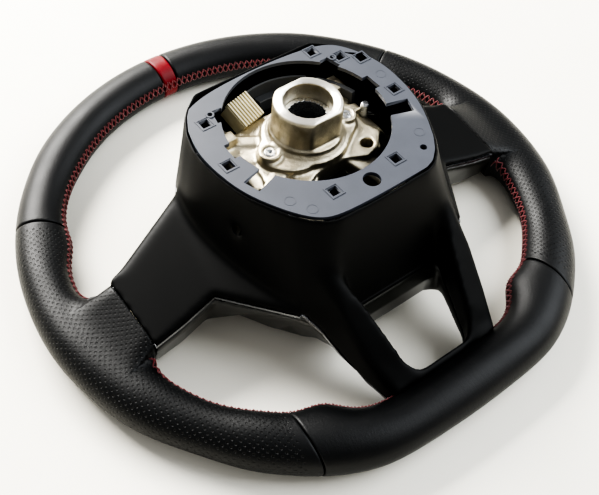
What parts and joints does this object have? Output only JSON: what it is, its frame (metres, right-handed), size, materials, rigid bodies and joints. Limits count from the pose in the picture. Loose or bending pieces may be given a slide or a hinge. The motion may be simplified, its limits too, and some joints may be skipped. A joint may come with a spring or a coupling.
{
  "type": "steering wheel",
  "caption": "Flat-bottomed leather steering wheel with a splined column hub, sprung horn pad, thumb switches and an open lower spoke.",
  "frame": {"origin": "steering axis at the hub's column-side end face", "axes": "+Z along the steering axis towards the column, +Y to 12 o'clock on the rim, +X to the driver's left"},
  "size_m": [0.3716, 0.3635, 0.1218],
  "materials": {
    "cast_frame": "die-cast magnesium alloy, warm silver, with a machined boss face",
    "machined_steel": "machined and zinc-plated steel",
    "spring_steel": "drawn spring wire",
    "foam": "integral-skin polyurethane foam",
    "smooth_leather": "fine-grained black leather, satin",
    "perforated_leather": "black leather with staggered 1 mm perforations at 4 mm pitch",
    "red_leather": "bright red leather, satin",
    "black_plastic": "finely grained black ABS",
    "grey_plastic": "moulded blue-grey nylon",
    "satin_trim": "satin-chromed plastic",
    "cream_plastic": "natural nylon",
    "soft_pad": "grained soft-touch moulding",
    "bag_fabric": "folded nylon cloth",
    "gloss_black": "gloss black moulding",
    "dark_plastic": "dark grey moulding",
    "button_plastic": "satin black button moulding"
  },
  "bodies": {
    "wheel": {"armature": "cast_frame", "rim_core": "machined_steel", "hub_bush": "machined_steel", "hub_screw_left": "machined_steel", "hub_screw_right": "machined_steel", "locating_pin_left": "machined_steel", "locating_pin_right": "machined_steel", "horn_base_plate": "machined_steel", "horn_spring_left": "spring_steel", "horn_spring_right": "spring_steel", "horn_spring_lower": "spring_steel", "rim_foam": "foam", "leather_top_left": "smooth_leather", "leather_top_right": "smooth_leather", "leather_bottom": "smooth_leather", "leather_grip_left": "perforated_leather", "leather_grip_right": "perforated_leather", "centre_band": "red_leather", "rear_cover": "black_plastic", "front_frame": "black_plastic", "trim_strip_window": "black_plastic", "column_plate": "grey_plastic", "trim_strip_upper": "satin_trim", "trim_strip_left": "satin_trim", "trim_strip_right": "satin_trim", "wiring_connector": "cream_plastic", "switch_panel_left": "gloss_black", "switch_panel_right": "gloss_black", "switch_module_left": "dark_plastic", "switch_module_right": "dark_plastic"},
    "horn_pad": {"pad_cover": "soft_pad", "emblem_disc": "satin_trim", "module_plate": "machined_steel", "gas_generator": "machined_steel", "folded_bag": "bag_fabric", "horn_guide_pin_left": "spring_steel", "horn_guide_pin_right": "spring_steel", "horn_guide_pin_lower": "spring_steel"},
    "upper_button_left": {"upper_button_left": "button_plastic"},
    "lower_button_left": {"lower_button_left": "button_plastic"},
    "rocker_left": {"rocker_left": "button_plastic"},
    "thumb_roller_left": {"thumb_roller_left": "dark_plastic"},
    "upper_button_right": {"upper_button_right": "button_plastic"},
    "lower_button_right": {"lower_button_right": "button_plastic"},
    "rocker_right": {"rocker_right": "button_plastic"},
    "thumb_roller_right": {"thumb_roller_right": "dark_plastic"}
  },
  "joints": [
    {"name": "horn_pad_press", "type": "slide", "parent": "wheel", "child": "horn_pad", "axis": [0, 0, 1], "range_m": [0, 0.0025], "stiffness_N_per_m": 4000, "springref_m": -0.002, "deforming": ["horn_spring_left", "horn_spring_right", "horn_spring_lower"]},
    {"name": "upper_button_left_press", "type": "slide", "parent": "wheel", "child": "upper_button_left", "axis": [0, 0, 1], "range_m": [0, 0.0008], "stiffness_N_per_m": 1500, "springref_m": -0.0005},
    {"name": "lower_button_left_press", "type": "slide", "parent": "wheel", "child": "lower_button_left", "axis": [0, 0, 1], "range_m": [0, 0.0008], "stiffness_N_per_m": 1500, "springref_m": -0.0005},
    {"name": "rocker_left_tip", "type": "hinge", "parent": "wheel", "child": "rocker_left", "pos_m": [-0.1035, -0.011, -0.1115], "axis": [1, 0, 0], "range_deg": [-4, 4], "stiffness_Nm_per_rad": 0.2},
    {"name": "thumb_roller_left_turn", "type": "hinge", "parent": "wheel", "child": "thumb_roller_left", "pos_m": [-0.0745, -0.011, -0.1105], "axis": [1, 0, 0], "continuous": true},
    {"name": "upper_button_right_press", "type": "slide", "parent": "wheel", "child": "upper_button_right", "axis": [0, 0, 1], "range_m": [0, 0.0008], "stiffness_N_per_m": 1500, "springref_m": -0.0005},
    {"name": "lower_button_right_press", "type": "slide", "parent": "wheel", "child": "lower_button_right", "axis": [0, 0, 1], "range_m": [0, 0.0008], "stiffness_N_per_m": 1500, "springref_m": -0.0005},
    {"name": "rocker_right_tip", "type": "hinge", "parent": "wheel", "child": "rocker_right", "pos_m": [0.1035, -0.011, -0.1115], "axis": [1, 0, 0], "range_deg": [-4, 4], "stiffness_Nm_per_rad": 0.2},
    {"name": "thumb_roller_right_turn", "type": "hinge", "parent": "wheel", "child": "thumb_roller_right", "pos_m": [0.0745, -0.011, -0.1105], "axis": [1, 0, 0], "continuous": true}
  ]
}
